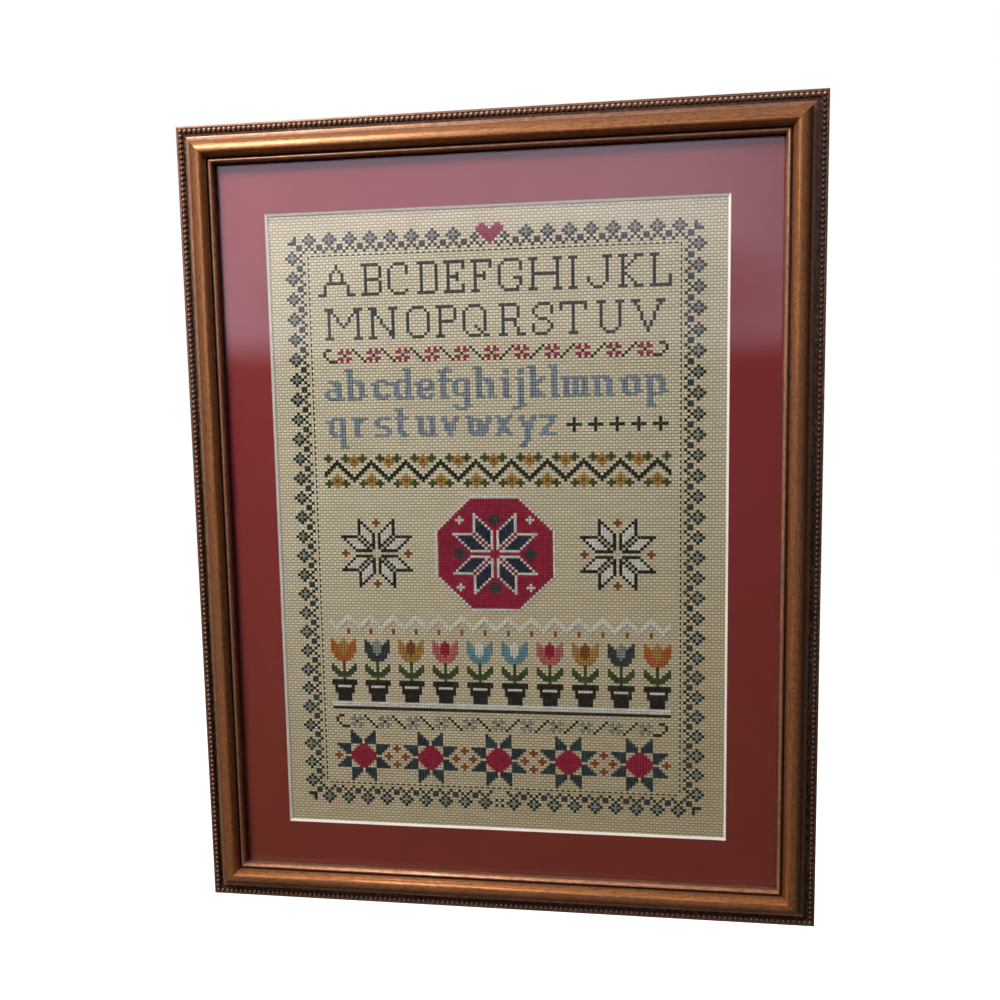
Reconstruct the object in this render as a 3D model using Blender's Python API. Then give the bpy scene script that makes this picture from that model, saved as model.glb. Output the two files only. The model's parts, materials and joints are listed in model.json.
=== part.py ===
"""Framed cross stitch sampler.

Four mitred lengths of wood moulding hold a stack in their rabbet: a glass pane, a mat board with a
bevelled window, the embroidered cloth, and the board it is stretched on. The sampler hangs upright,
its face towards -Y and its back, at y = 0, against the wall. The origin is the middle of the top
rail's back face. Units are metres.
"""

import math

import bmesh
import bpy
from mathutils import Matrix, Vector

MM = 0.001

# Driving sizes of the frame, outside to outside
FRAME_WIDTH = 387.0 * MM
FRAME_HEIGHT = 494.5 * MM

# The moulding's section: distances from the outer edge in, and heights above the back
MOULDING_WIDTH = 23.5 * MM
RABBET_WALL = 18.0 * MM
RABBET_DEPTH = 9.5 * MM
OUTER_EDGE_HEIGHT = 11.0 * MM
OUTER_FILLET = 1.4 * MM
BEAD_STRIP_RADIUS = 1.15 * MM
GROOVE_START = 4.0 * MM
GROOVE_END = 6.6 * MM
GROOVE_FLOOR = 9.2 * MM
LEDGE_HEIGHT = 12.0 * MM
BODY_START = 9.0 * MM
BODY_OUTER_REACH = 7.4 * MM
BODY_INNER_REACH = 3.5 * MM
BODY_RISE = 6.8 * MM
COVE_TOP = 15.0 * MM
COVE_RADIUS = 0.35 * MM
COVE_END = 19.9 * MM
QUIRK_WIDTH = 0.4 * MM
QUIRK_FLOOR = 11.6 * MM
LIP_RISE = 2.9 * MM

# The stack in the rabbet, front to back
GAP = 0.3 * MM
EDGE_CLEARANCE = 0.5 * MM
GLASS_THICKNESS = 2.0 * MM
MAT_THICKNESS = 1.4 * MM
CLOTH_THICKNESS = 1.0 * MM
BOARD_THICKNESS = 3.0 * MM

# The mat's window, measured at its back edge, is cut a little low
WINDOW_WIDTH = 278.0 * MM
WINDOW_HEIGHT = 387.0 * MM
WINDOW_DROP = 1.4 * MM

ARC_STEPS = 6
BODY_STEPS = 7
CUTTER_MARGIN = 1.0 * MM
WELD_DISTANCE = 0.01 * MM

# The origin is the middle of the top rail's back face, so the frame's middle lies below it
CENTRE_Z = RABBET_WALL / 2 - FRAME_HEIGHT / 2


def clear_scene():
    for old in list(bpy.data.objects):
        bpy.data.objects.remove(old, do_unlink=True)


def make_collection(name):
    collection = bpy.data.collections.new(name)
    bpy.context.scene.collection.children.link(collection)
    return collection


def make_material(name, colour, roughness, transmission=0.0):
    material = bpy.data.materials.new(name)
    material.use_nodes = True
    shader = material.node_tree.nodes["Principled BSDF"]
    shader.inputs["Base Color"].default_value = (*colour, 1.0)
    shader.inputs["Roughness"].default_value = roughness
    shader.inputs["Metallic"].default_value = 0.0
    shader.inputs["Transmission Weight"].default_value = transmission
    return material


def arc(centre, radius_across, radius_up, start_deg, end_deg, steps=ARC_STEPS):
    """Points from one angle to another on a circle or an ellipse."""
    points = []
    for step in range(steps + 1):
        angle = math.radians(start_deg + (end_deg - start_deg) * step / steps)
        across = centre[0] + radius_across * math.cos(angle)
        up = centre[1] + radius_up * math.sin(angle)
        points.append((across, up))
    return points


def moulding_section():
    """The section's outline, from the outer back corner over the face to the rabbet."""
    bead_centre = (OUTER_FILLET + BEAD_STRIP_RADIUS, OUTER_EDGE_HEIGHT)
    body_centre = (BODY_START + BODY_OUTER_REACH, LEDGE_HEIGHT)
    body_end_deg = math.degrees(math.asin((COVE_TOP - LEDGE_HEIGHT) / BODY_RISE))
    lip_half = (MOULDING_WIDTH - COVE_END - QUIRK_WIDTH) / 2
    lip_centre = (MOULDING_WIDTH - lip_half, QUIRK_FLOOR)

    outline = [(0.0, 0.0), (0.0, OUTER_EDGE_HEIGHT)]
    outline += arc(bead_centre, BEAD_STRIP_RADIUS, BEAD_STRIP_RADIUS, 180, 0)
    outline += [(GROOVE_START, OUTER_EDGE_HEIGHT), (GROOVE_START, GROOVE_FLOOR)]
    outline += [(GROOVE_END, GROOVE_FLOOR), (GROOVE_END, LEDGE_HEIGHT)]
    outline += arc(body_centre, BODY_OUTER_REACH, BODY_RISE, 180, 90, BODY_STEPS)
    outline += arc(body_centre, BODY_INNER_REACH, BODY_RISE, 90, body_end_deg, BODY_STEPS)[1:]
    outline += arc((COVE_END, COVE_TOP), COVE_RADIUS, COVE_RADIUS, 180, 270)
    outline += [(COVE_END, QUIRK_FLOOR)]
    outline += arc(lip_centre, lip_half, LIP_RISE, 180, 0)
    outline += [(MOULDING_WIDTH, RABBET_DEPTH), (RABBET_WALL, RABBET_DEPTH), (RABBET_WALL, 0.0)]
    return outline


def extruded_section(outline, length):
    """A mesh of the outline, extruded to the length, its curve removed again."""
    curve = bpy.data.curves.new("section", "CURVE")
    curve.dimensions = "2D"
    curve.fill_mode = "BOTH"
    curve.extrude = length / 2
    spline = curve.splines.new("POLY")
    spline.points.add(len(outline) - 1)
    for point, (across, up) in zip(spline.points, outline):
        point.co = (across, up, 0.0, 1.0)
    spline.use_cyclic_u = True

    guide = bpy.data.objects.new("section", curve)
    bpy.context.scene.collection.objects.link(guide)
    bpy.context.view_layer.update()
    evaluated = guide.evaluated_get(bpy.context.evaluated_depsgraph_get())
    mesh = bpy.data.meshes.new_from_object(evaluated)
    bpy.data.objects.remove(guide, do_unlink=True)
    return mesh


def cut_mitre(shape, side, length):
    """Cuts the end on one side at 45 degrees and closes the cut."""
    outward = Vector((side, 0, -1)).normalized()
    # Each plane is set back by half of the gap between two rails
    corner = Vector((side * length / 2, 0, 0)) - outward * GAP / 2
    geometry = shape.verts[:] + shape.edges[:] + shape.faces[:]
    cut = bmesh.ops.bisect_plane(
        shape, geom=geometry, plane_co=corner, plane_no=outward, clear_outer=True
    )
    rim = [item for item in cut["geom_cut"] if isinstance(item, bmesh.types.BMEdge)]
    bmesh.ops.holes_fill(shape, edges=rim)


def make_rail(name, length, reach, turn_deg, material, parts):
    """One rail, drawn as a top rail whose outer edge is at reach above the frame's middle."""
    mesh = extruded_section(moulding_section(), length)
    mesh.name = name
    shape = bmesh.new()
    shape.from_mesh(mesh)
    bmesh.ops.remove_doubles(shape, verts=shape.verts, dist=WELD_DISTANCE)

    # The section's first axis turns down from the outer edge, its second one to the front
    stand = Matrix(((0, 0, -1, 0), (0, -1, 0, 0), (-1, 0, 0, 0), (0, 0, 0, 1)))
    bmesh.ops.transform(shape, matrix=stand, verts=shape.verts)
    for side in (-1, 1):
        cut_mitre(shape, side, length)
    bmesh.ops.translate(shape, vec=(0, 0, reach), verts=shape.verts)
    bmesh.ops.recalc_face_normals(shape, faces=shape.faces)
    shape.to_mesh(mesh)
    shape.free()

    rail = bpy.data.objects.new(name, mesh)
    parts.objects.link(rail)
    rail.location = (0, 0, CENTRE_Z)
    rail.rotation_euler = (0, math.radians(turn_deg), 0)
    mesh.materials.append(material)
    mesh.shade_smooth()
    mesh.set_sharp_from_angle(angle=math.radians(35))
    return rail


def make_panel(name, front, thickness, material, parts):
    """A flat panel that fills the rabbet; front is the height of its face above the back."""
    width = FRAME_WIDTH - 2 * (RABBET_WALL + EDGE_CLEARANCE)
    height = FRAME_HEIGHT - 2 * (RABBET_WALL + EDGE_CLEARANCE)
    mesh = bpy.data.meshes.new(name)
    shape = bmesh.new()
    bmesh.ops.create_cube(shape, size=1.0)
    bmesh.ops.scale(shape, vec=(width, thickness, height), verts=shape.verts)
    shape.to_mesh(mesh)
    shape.free()

    panel = bpy.data.objects.new(name, mesh)
    parts.objects.link(panel)
    panel.location = (0, thickness / 2 - front, CENTRE_Z)
    mesh.materials.append(material)
    return panel


def cut_window(mat, front, cutters):
    """Cuts the mat's window, whose sides slope out to the front at 45 degrees."""
    depth = MAT_THICKNESS + 2 * CUTTER_MARGIN
    back_width = WINDOW_WIDTH - 2 * CUTTER_MARGIN
    back_height = WINDOW_HEIGHT - 2 * CUTTER_MARGIN
    mesh = bpy.data.meshes.new("window_cutter")
    shape = bmesh.new()
    bmesh.ops.create_cube(shape, size=1.0)
    bmesh.ops.scale(shape, vec=(back_width, depth, back_height), verts=shape.verts)
    face_verts = [vert for vert in shape.verts if vert.co.y < 0]
    spread = ((back_width + 2 * depth) / back_width, 1.0, (back_height + 2 * depth) / back_height)
    bmesh.ops.scale(shape, vec=spread, verts=face_verts)
    shape.to_mesh(mesh)
    shape.free()

    cutter = bpy.data.objects.new("window_cutter", mesh)
    cutters.objects.link(cutter)
    cutter.location = (0, MAT_THICKNESS / 2 - front, CENTRE_Z - WINDOW_DROP)
    cutter.hide_render = True
    cutter.display_type = "WIRE"
    cut = mat.modifiers.new("window", "BOOLEAN")
    cut.operation = "DIFFERENCE"
    cut.object = cutter


def main():
    clear_scene()
    parts = make_collection("framed_cross_stitch_sampler")
    cutters = make_collection("cutters")

    wood = make_material("copper_brown_wood", (0.24, 0.075, 0.022), 0.32)
    glass = make_material("clear_glass", (0.95, 0.97, 0.96), 0.02, transmission=1.0)
    mat_paper = make_material("burgundy_mat", (0.16, 0.022, 0.032), 0.85)
    linen = make_material("beige_linen", (0.60, 0.53, 0.38), 0.95)
    board = make_material("brown_board", (0.38, 0.27, 0.17), 0.9)

    half_width = FRAME_WIDTH / 2
    half_height = FRAME_HEIGHT / 2
    make_rail("top_rail", FRAME_WIDTH, half_height, 0, wood, parts)
    make_rail("right_rail", FRAME_HEIGHT, half_width, 90, wood, parts)
    make_rail("bottom_rail", FRAME_WIDTH, half_height, 180, wood, parts)
    make_rail("left_rail", FRAME_HEIGHT, half_width, 270, wood, parts)

    glass_front = RABBET_DEPTH - GAP
    mat_front = glass_front - GLASS_THICKNESS - GAP
    cloth_front = mat_front - MAT_THICKNESS - GAP
    board_front = cloth_front - CLOTH_THICKNESS - GAP
    make_panel("glass_pane", glass_front, GLASS_THICKNESS, glass, parts)
    mat = make_panel("mat_board", mat_front, MAT_THICKNESS, mat_paper, parts)
    cut_window(mat, mat_front, cutters)
    make_panel("embroidered_cloth", cloth_front, CLOTH_THICKNESS, linen, parts)
    make_panel("backing_board", board_front, BOARD_THICKNESS, board, parts)


main()
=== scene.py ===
import json
import math
import random
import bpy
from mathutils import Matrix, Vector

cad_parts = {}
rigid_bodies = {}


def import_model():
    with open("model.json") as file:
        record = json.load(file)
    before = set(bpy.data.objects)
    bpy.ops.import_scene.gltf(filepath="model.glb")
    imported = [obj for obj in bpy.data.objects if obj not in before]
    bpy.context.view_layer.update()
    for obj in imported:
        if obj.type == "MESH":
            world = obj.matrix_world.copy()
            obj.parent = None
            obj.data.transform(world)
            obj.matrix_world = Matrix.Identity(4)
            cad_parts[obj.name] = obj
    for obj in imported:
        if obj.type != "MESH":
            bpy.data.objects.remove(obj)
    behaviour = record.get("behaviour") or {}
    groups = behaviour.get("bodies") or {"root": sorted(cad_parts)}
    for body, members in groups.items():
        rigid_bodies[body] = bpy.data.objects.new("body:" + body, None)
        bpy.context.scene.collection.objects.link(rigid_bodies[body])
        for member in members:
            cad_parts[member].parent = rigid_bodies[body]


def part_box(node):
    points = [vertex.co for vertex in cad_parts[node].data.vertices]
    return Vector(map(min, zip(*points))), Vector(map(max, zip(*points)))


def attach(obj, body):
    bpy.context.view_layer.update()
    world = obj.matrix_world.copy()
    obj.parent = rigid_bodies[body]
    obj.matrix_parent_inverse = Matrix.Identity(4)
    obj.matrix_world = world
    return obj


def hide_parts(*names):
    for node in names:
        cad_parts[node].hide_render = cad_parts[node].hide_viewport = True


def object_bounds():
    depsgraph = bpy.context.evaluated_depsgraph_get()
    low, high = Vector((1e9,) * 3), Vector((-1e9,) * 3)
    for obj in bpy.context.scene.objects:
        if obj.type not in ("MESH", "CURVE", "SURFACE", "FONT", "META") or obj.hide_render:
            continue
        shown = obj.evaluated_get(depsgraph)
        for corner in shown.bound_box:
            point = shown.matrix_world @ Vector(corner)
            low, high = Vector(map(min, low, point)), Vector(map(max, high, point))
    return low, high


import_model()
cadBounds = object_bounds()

from types import SimpleNamespace

import bmesh
import bpy
from mathutils import Matrix, Vector

# The sampler hangs upright with its face towards -Y and its back at y = 0.
# Sizes are millimetres in the dictionaries and metres in the meshes.
mm = 0.001
frameLow, frameHigh = [Vector(corner) for corner in cadBounds]
frameWidth = frameHigh.x - frameLow.x
frameHeight = frameHigh.z - frameLow.z
frameMiddle = Vector(((frameLow.x + frameHigh.x) / 2, 0, (frameLow.z + frameHigh.z) / 2))
sceneItems = bpy.context.scene.collection.objects

view = {
    "place": (0.08205, -0.57896, -0.16063),
    "forward": (-0.13626, 0.98499, -0.10601),
    "up": (0.00264, 0.10736, 0.99422),
    "lens": 33.97,
    "sensor": 36.0,
}


def addCamera():
    forward = Vector(view["forward"]).normalized()
    right = forward.cross(Vector(view["up"])).normalized()
    up = right.cross(forward)
    data = bpy.data.cameras.new("photo_camera")
    data.lens = view["lens"]
    data.sensor_width = view["sensor"]
    data.clip_start = 0.01
    camera = bpy.data.objects.new("photo_camera", data)
    sceneItems.link(camera)
    turn = Matrix((right, up, -forward)).transposed().to_4x4()
    camera.matrix_world = Matrix.Translation(view["place"]) @ turn
    bpy.context.scene.camera = camera


addCamera()
print("camera placed")


# Material helpers
class Nodes:
    def __init__(self, tree):
        self.tree = tree

    def feed(self, socket, value):
        # A value is another node's output or a constant; a colour may come without its alpha
        if isinstance(value, bpy.types.NodeSocket):
            self.tree.links.new(value, socket)
        elif socket.type == "RGBA" and len(value) == 3:
            socket.default_value = (*value, 1.0)
        else:
            socket.default_value = value

    def add(self, kind, values=None, **settings):
        node = self.tree.nodes.new(kind)
        for key, value in settings.items():
            setattr(node, key, value)
        for key, value in (values or {}).items():
            self.feed(node.inputs[key], value)
        return node

    def place(self):
        return self.add("ShaderNodeTexCoord").outputs["Object"]

    def split(self, vector):
        return self.add("ShaderNodeSeparateXYZ", {0: vector}).outputs

    def math(self, operation, first, second=0.0):
        return self.add("ShaderNodeMath", {0: first, 1: second}, operation=operation).outputs[0]

    def plus(self, first, second):
        return self.math("ADD", first, second)

    def minus(self, first, second):
        return self.math("SUBTRACT", first, second)

    def times(self, first, second):
        return self.math("MULTIPLY", first, second)

    def over(self, first, second):
        return self.math("DIVIDE", first, second)

    def mix(self, share, first, second, blend="MIX"):
        values = {0: share, 6: first, 7: second}
        return self.add("ShaderNodeMix", values, data_type="RGBA", blend_type=blend).outputs[2]

    def ramp(self, value, stops):
        node = self.add("ShaderNodeValToRGB", {"Fac": value})
        band = node.color_ramp
        while len(band.elements) < len(stops):
            band.elements.new(0.5)
        for element, (place, colour) in zip(band.elements, stops):
            element.position = place
            element.color = (*colour, 1.0)
        return node.outputs["Color"]

    def between(self, value, low, high, first=0.0, second=1.0):
        values = {"Value": value, "From Min": low, "From Max": high, "To Min": first, "To Max": second}
        return self.add("ShaderNodeMapRange", values).outputs[0]


def startMaterial(name, shaderValues):
    material = bpy.data.materials.new(name)
    material.use_nodes = True
    nodes = Nodes(material.node_tree)
    shader = material.node_tree.nodes["Principled BSDF"]
    for key, value in shaderValues.items():
        nodes.feed(shader.inputs[key], value)
    return material, nodes, shader


def startGroup(name, inputs, outputs):
    tree = bpy.data.node_groups.new(name, "ShaderNodeTree")
    for label, (kind, value) in inputs.items():
        socket = tree.interface.new_socket(label, in_out="INPUT", socket_type="NodeSocket" + kind)
        if value is not None:
            socket.default_value = value
    for label, kind in outputs.items():
        tree.interface.new_socket(label, in_out="OUTPUT", socket_type="NodeSocket" + kind)
    nodes = Nodes(tree)
    return tree, nodes, nodes.add("NodeGroupInput").outputs, nodes.add("NodeGroupOutput")


evenly = (1.0, 1.0, 1.0)


def buildMottle():
    # Uneven tone, stretched along one way: brushed finishes, paper fibre and the like
    inputs = {
        "Vector": ("Vector", None),
        "Stretch": ("Vector", evenly),
        "Scale": ("Float", 200.0),
        "Detail": ("Float", 4.0),
        "Low": ("Float", 0.3),
        "High": ("Float", 0.7),
    }
    tree, nodes, given, result = startGroup("mottle", inputs, {"Mask": "Float"})
    ways = {0: given["Vector"], 1: given["Stretch"]}
    stretched = nodes.add("ShaderNodeVectorMath", ways, operation="MULTIPLY").outputs[0]
    cloud = nodes.add("ShaderNodeTexNoise", {
        "Vector": stretched, "Scale": given["Scale"], "Detail": given["Detail"], "Roughness": 0.6,
    }).outputs[0]
    nodes.feed(result.inputs["Mask"], nodes.between(cloud, given["Low"], given["High"]))
    return tree


def buildFloss():
    # Two-ply cotton: painted shade darkens it between the plies, with slow changes of tone along the thread
    inputs = {
        "Place": ("Vector", None),
        "Colour": ("Color", (0.5, 0.5, 0.5, 1.0)),
        "Plies": ("Float", 2.0),
        "Twist": ("Float", 0.8),
    }
    tree, nodes, given, result = startGroup("floss", inputs, {"Colour": "Color", "Height": "Float"})
    place = nodes.split(given["Place"])
    turned = nodes.plus(place["X"], nodes.times(place["Y"], given["Twist"]))
    wave = nodes.math("SINE", nodes.times(nodes.times(turned, given["Plies"]), 2 * math.pi))
    shade = nodes.between(wave, -1.0, 0.2, 0.62, 1.0)
    grey = nodes.add("ShaderNodeCombineColor", {"Red": shade, "Green": shade, "Blue": shade}).outputs[0]
    nodes.feed(result.inputs["Colour"], nodes.mix(1.0, given["Colour"], grey, "MULTIPLY"))
    nodes.feed(result.inputs["Height"], nodes.between(wave, -1.0, 1.0))
    return tree


mottle = buildMottle()
floss = buildFloss()


# A mask is given by its stretch, its scale and detail, and the cuts that make it soft or crisp
def mottleMask(nodes, vector, stretch, scale, detail=4.0, low=0.3, high=0.7):
    values = {
        "Vector": vector, "Stretch": stretch, "Scale": scale, "Detail": detail, "Low": low, "High": high,
    }
    return nodes.add("ShaderNodeGroup", values, node_tree=mottle).outputs["Mask"]


def dress(nodes, shader, tone, height, strength, distance):
    bump = nodes.add("ShaderNodeBump", {"Height": height, "Strength": strength, "Distance": distance})
    nodes.feed(shader.inputs["Base Color"], tone)
    nodes.feed(shader.inputs["Normal"], bump.outputs[0])


def finishPiece(mesh, replaced, slotName, *materials):
    piece = bpy.data.objects.new(mesh.name, mesh)
    sceneItems.link(piece)
    for material in materials:
        mesh.materials.append(material)
    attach(piece, "root")
    if replaced:
        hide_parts(replaced)
    return piece


def meshFrom(shape, name, smooth=None):
    bmesh.ops.recalc_face_normals(shape, faces=shape.faces)
    mesh = bpy.data.meshes.new(name)
    shape.to_mesh(mesh)
    shape.free()
    if smooth:
        mesh.shade_smooth()
        mesh.set_sharp_from_angle(angle=math.radians(smooth))
    return mesh


# The moulding: places across it run from the outer edge in, heights from the back up
moulding = {
    "width": 23.5,
    "rabbetWall": 18.0,
    "rabbetDepth": 9.5,
    "edgeHeight": 11.0,
    "filletWidth": 1.45,
    "pearlBed": 10.2,
    "grooveStart": 4.0,
    "grooveEnd": 6.6,
    "grooveFloor": 9.2,
    "ledgeHeight": 12.0,
    "bodyStart": 9.0,
    "bodyOuterReach": 7.4,
    "bodyInnerReach": 3.5,
    "bodyRise": 6.8,
    "coveTop": 15.0,
    "coveRadius": 0.35,
    "coveEnd": 19.9,
    "quirkWidth": 0.4,
    "quirkFloor": 11.6,
    "lipRise": 2.9,
    "softEdge": 0.25,
    "bedFall": 0.1,
    "grooveEase": 0.2,
    "seamDepth": 0.1,
    "seamWidth": 0.14,
}


def arc(centre, across, up, startDeg, endDeg, steps):
    points = []
    for step in range(steps + 1):
        angle = math.radians(startDeg + (endDeg - startDeg) * step / steps)
        points.append((centre[0] + across * math.cos(angle), centre[1] + up * math.sin(angle)))
    return points


def mouldingOutline():
    m = SimpleNamespace(**moulding)
    soft, ease, fall = m.softEdge, m.grooveEase, m.bedFall
    bodyCentre = (m.bodyStart + m.bodyOuterReach, m.ledgeHeight)
    bodyEnd = math.degrees(math.asin((m.coveTop - m.ledgeHeight) / m.bodyRise))
    lipHalf = (m.width - m.coveEnd - m.quirkWidth) / 2
    lipCentre = (m.width - lipHalf, m.quirkFloor)
    outline = [(0.0, 0.0)]
    outline += arc((soft, m.edgeHeight - soft), soft, soft, 180, 90, 4)
    outline += arc((m.filletWidth - soft, m.edgeHeight - soft), soft, soft, 90, 0, 4)
    outline += [(m.filletWidth, m.pearlBed), (m.grooveStart - fall, m.pearlBed - fall)]
    outline += [(m.grooveStart, m.grooveFloor + ease), (m.grooveStart + ease, m.grooveFloor)]
    outline += [(m.grooveEnd - ease, m.grooveFloor), (m.grooveEnd, m.grooveFloor + ease)]
    outline += arc((m.grooveEnd + soft, m.ledgeHeight - soft), soft, soft, 180, 90, 4)
    outline += arc(bodyCentre, m.bodyOuterReach, m.bodyRise, 180, 90, 20)
    outline += arc(bodyCentre, m.bodyInnerReach, m.bodyRise, 90, bodyEnd, 14)[1:]
    outline += arc((m.coveEnd, m.coveTop), m.coveRadius, m.coveRadius, 180, 270, 8)[1:]
    outline += [(m.coveEnd, m.quirkFloor)]
    outline += arc(lipCentre, lipHalf, m.lipRise, 180, 0, 18)
    outline += [(m.width, m.rabbetDepth), (m.rabbetWall, m.rabbetDepth)]
    outline += [(m.rabbetWall, 0.0)]
    return outline


def outwardWays(outline):
    # For each point, the way that leads out of the wood
    ways = []
    for index in range(len(outline)):
        before, after = outline[index - 1], outline[(index + 1) % len(outline)]
        along = (Vector(after) - Vector(before)).normalized()
        ways.append(Vector((-along.y, along.x)))
    return ways


def railMesh(name, length):
    outline = mouldingOutline()
    ways = outwardWays(outline)
    shape = bmesh.new()
    rings = []
    for side in (-1, 1):
        ends = [(0.0, moulding["seamDepth"]), (moulding["seamWidth"], 0.0)]
        for inset, sunk in ends if side < 0 else reversed(ends):
            ring = []
            for (across, up), way in zip(outline, ways):
                across -= way.x * sunk
                up -= way.y * sunk
                along = side * (length / 2 - across * mm - inset * mm)
                ring.append(shape.verts.new((along, -up * mm, -across * mm)))
            rings.append(ring)
    count = len(outline)
    for first, second in zip(rings, rings[1:]):
        for index in range(count):
            after = (index + 1) % count
            shape.faces.new((first[index], first[after], second[after], second[index]))
    shape.faces.new(rings[0])
    shape.faces.new(rings[-1])
    return meshFrom(shape, name, 32)


# The pearls in the outer bed: one row to a rail
pearls = {
    "radius": 1.15,
    "across": 2.7,
    "up": 10.95,
    "pitch": 3.17,
    "cornerRoom": 2.7,
    "around": 12,
    "rings": 8,
}


def pearlMesh(name, length):
    room = length / mm - 2 * pearls["cornerRoom"]
    count = round(room / pearls["pitch"])
    shape = bmesh.new()
    bmesh.ops.create_uvsphere(
        shape, u_segments=pearls["around"], v_segments=pearls["rings"], radius=pearls["radius"] * mm,
        matrix=Matrix.Rotation(math.radians(90), 4, "X"),
    )
    pearlPoints = [vert.co.copy() for vert in shape.verts]
    pearlFaces = [[vert.index for vert in face.verts] for face in shape.faces]
    shape.free()
    points = []
    faces = []
    for index in range(count + 1):
        if name.endswith(("right", "left")) and index in (0, count):
            continue  # the top and bottom rows carry the corner pearls
        place = Vector(((index / count - 0.5) * room, -pearls["up"], -pearls["across"])) * mm
        first = len(points)
        points += [point + place for point in pearlPoints]
        faces += [[first + corner for corner in face] for face in pearlFaces]
    mesh = bpy.data.meshes.new(name)
    mesh.from_pydata(points, [], faces)
    mesh.shade_smooth()
    return mesh


# Copper-brown finish rubbed back on the high parts: colours by their place across the moulding
copper = {
    "zones": [
        (0.0, (0.24, 0.12, 0.075)),
        (0.4, (0.42, 0.21, 0.13)),
        (1.3, (0.34, 0.17, 0.105)),
        (1.6, (0.26, 0.14, 0.09)),
        (2.4, (0.11, 0.056, 0.034)),
        (3.9, (0.070, 0.034, 0.020)),
        (4.1, (0.024, 0.012, 0.007)),
        (6.5, (0.024, 0.012, 0.007)),
        (6.75, (0.60, 0.33, 0.22)),
        (8.8, (0.58, 0.29, 0.17)),
        (9.3, (0.50, 0.21, 0.095)),
        (11.5, (0.58, 0.232, 0.094)),
        (14.4, (0.68, 0.265, 0.105)),
        (17.2, (0.70, 0.265, 0.088)),
        (18.7, (0.56, 0.20, 0.06)),
        (19.4, (0.42, 0.17, 0.07)),
        (19.7, (0.28, 0.125, 0.055)),
        (19.9, (0.16, 0.078, 0.038)),
        (20.4, (0.13, 0.062, 0.030)),
        (20.8, (0.14, 0.066, 0.036)),
        (21.5, (0.36, 0.17, 0.10)),
        (22.2, (0.80, 0.42, 0.28)),
        (23.1, (0.78, 0.38, 0.22)),
        (23.45, (0.20, 0.10, 0.06)),
    ],
    "sideTone": (0.10, 0.052, 0.032),
    "sideStart": (-0.12, -0.02),
    "sideHeights": (9.0, 8.6),
    "rawWood": (0.36, 0.22, 0.11),
    "rawGrain": (0.22, 0.12, 0.055),
    "rawHeights": (0.25, 0.1),
    "rawRoughness": 0.8,
    "metallic": 0.38,
    "roughness": (0.27, 0.42),
    "streaks": ((9.0, 200.0, 200.0), 3.0, 4.0, 0.40, 0.78),
    "clouds": ((1.0, 2.2, 2.2), 60.0, 3.0, 0.40, 0.75),
    "fine": ((0.30, 1.0, 1.0), 1500.0, 2.0, 0.44, 0.58),
    "flecks": ((0.22, 1.0, 1.0), 900.0, 3.0, 0.46, 0.62),
    "grain": ((6.0, 150.0, 150.0), 5.0, 6.0, 0.3, 0.7),
    "streakTone": (0.22, 0.085, 0.03),
    "fleckTone": (0.19, 0.080, 0.020),
    "shoulderShadeTone": (0.020, 0.012, 0.006),
    "shoulderWidth": (13.5, 9.0),
    "rubbedTone": (0.98, 0.55, 0.28),
    "rubbedShare": (0.10, 0.40),
    "patinaTone": (0.05, 0.03, 0.018),
    "patina": 0.25,
}
# The pearls are painted bright on their crests, a painted highlight, and dark where they meet the bed,
# painted shade
pearlFinish = {
    "heights": [
        (10.3, (0.040, 0.021, 0.013)),
        (11.0, (0.24, 0.125, 0.085)),
        (11.6, (0.60, 0.37, 0.28)),
        (12.15, (0.86, 0.58, 0.47)),
    ],
    "worn": (0.12, 0.060, 0.038),
    "roughness": 0.42,
}


def copperMaterial(name, shoulderShade, bodyLightGain):
    material, nodes, shader = startMaterial(name, {})
    place = nodes.place()
    local = nodes.split(place)
    width = moulding["width"]
    across = nodes.over(nodes.times(local["Z"], -1 / mm), width)
    up = nodes.times(local["Y"], -1 / mm)
    # Each rail's zone colours are scaled by its painted light gain, brightest on the bottom rail as a
    # painted highlight
    stops = [(where / width, [channel * bodyLightGain for channel in colour]) for where, colour in copper["zones"]]
    tone = nodes.ramp(across, stops)
    streaks, clouds, fine, flecks, grain = [
        mottleMask(nodes, place, *copper[mask]) for mask in ("streaks", "clouds", "fine", "flecks", "grain")
    ]
    # Painted shade on each rail's outer shoulder, darkest on the right rail, away from the light
    shoulder = nodes.between(across, *[where / width for where in copper["shoulderWidth"]])
    rubbed = nodes.times(fine, nodes.between(clouds, 0.0, 1.0, *copper["rubbedShare"]))
    bare = nodes.between(up, *copper["rawHeights"])
    for share, colour in (
        (nodes.times(streaks, 0.5), copper["streakTone"]),
        (nodes.times(shoulder, shoulderShade), copper["shoulderShadeTone"]),
        (nodes.times(flecks, 0.5), copper["fleckTone"]),
        (rubbed, copper["rubbedTone"]),
        (nodes.times(clouds, copper["patina"]), copper["patinaTone"]),
        (nodes.between(local["Z"], *[step * mm for step in copper["sideStart"]]), copper["sideTone"]),
        (nodes.between(up, *copper["sideHeights"]), copper["sideTone"]),
        (bare, nodes.mix(grain, copper["rawWood"], copper["rawGrain"])),
    ):
        tone = nodes.mix(share, tone, colour)
    rough = nodes.between(nodes.plus(streaks, fine), 0.0, 2.0, *copper["roughness"])
    rough = nodes.math("MAXIMUM", rough, nodes.times(bare, copper["rawRoughness"]))
    nodes.feed(shader.inputs["Roughness"], rough)
    nodes.feed(shader.inputs["Metallic"], nodes.between(bare, 0.0, 1.0, copper["metallic"], 0.0))
    dress(nodes, shader, tone, nodes.plus(streaks, nodes.times(fine, 0.4)), 0.12, 0.10 * mm)
    return material


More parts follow.
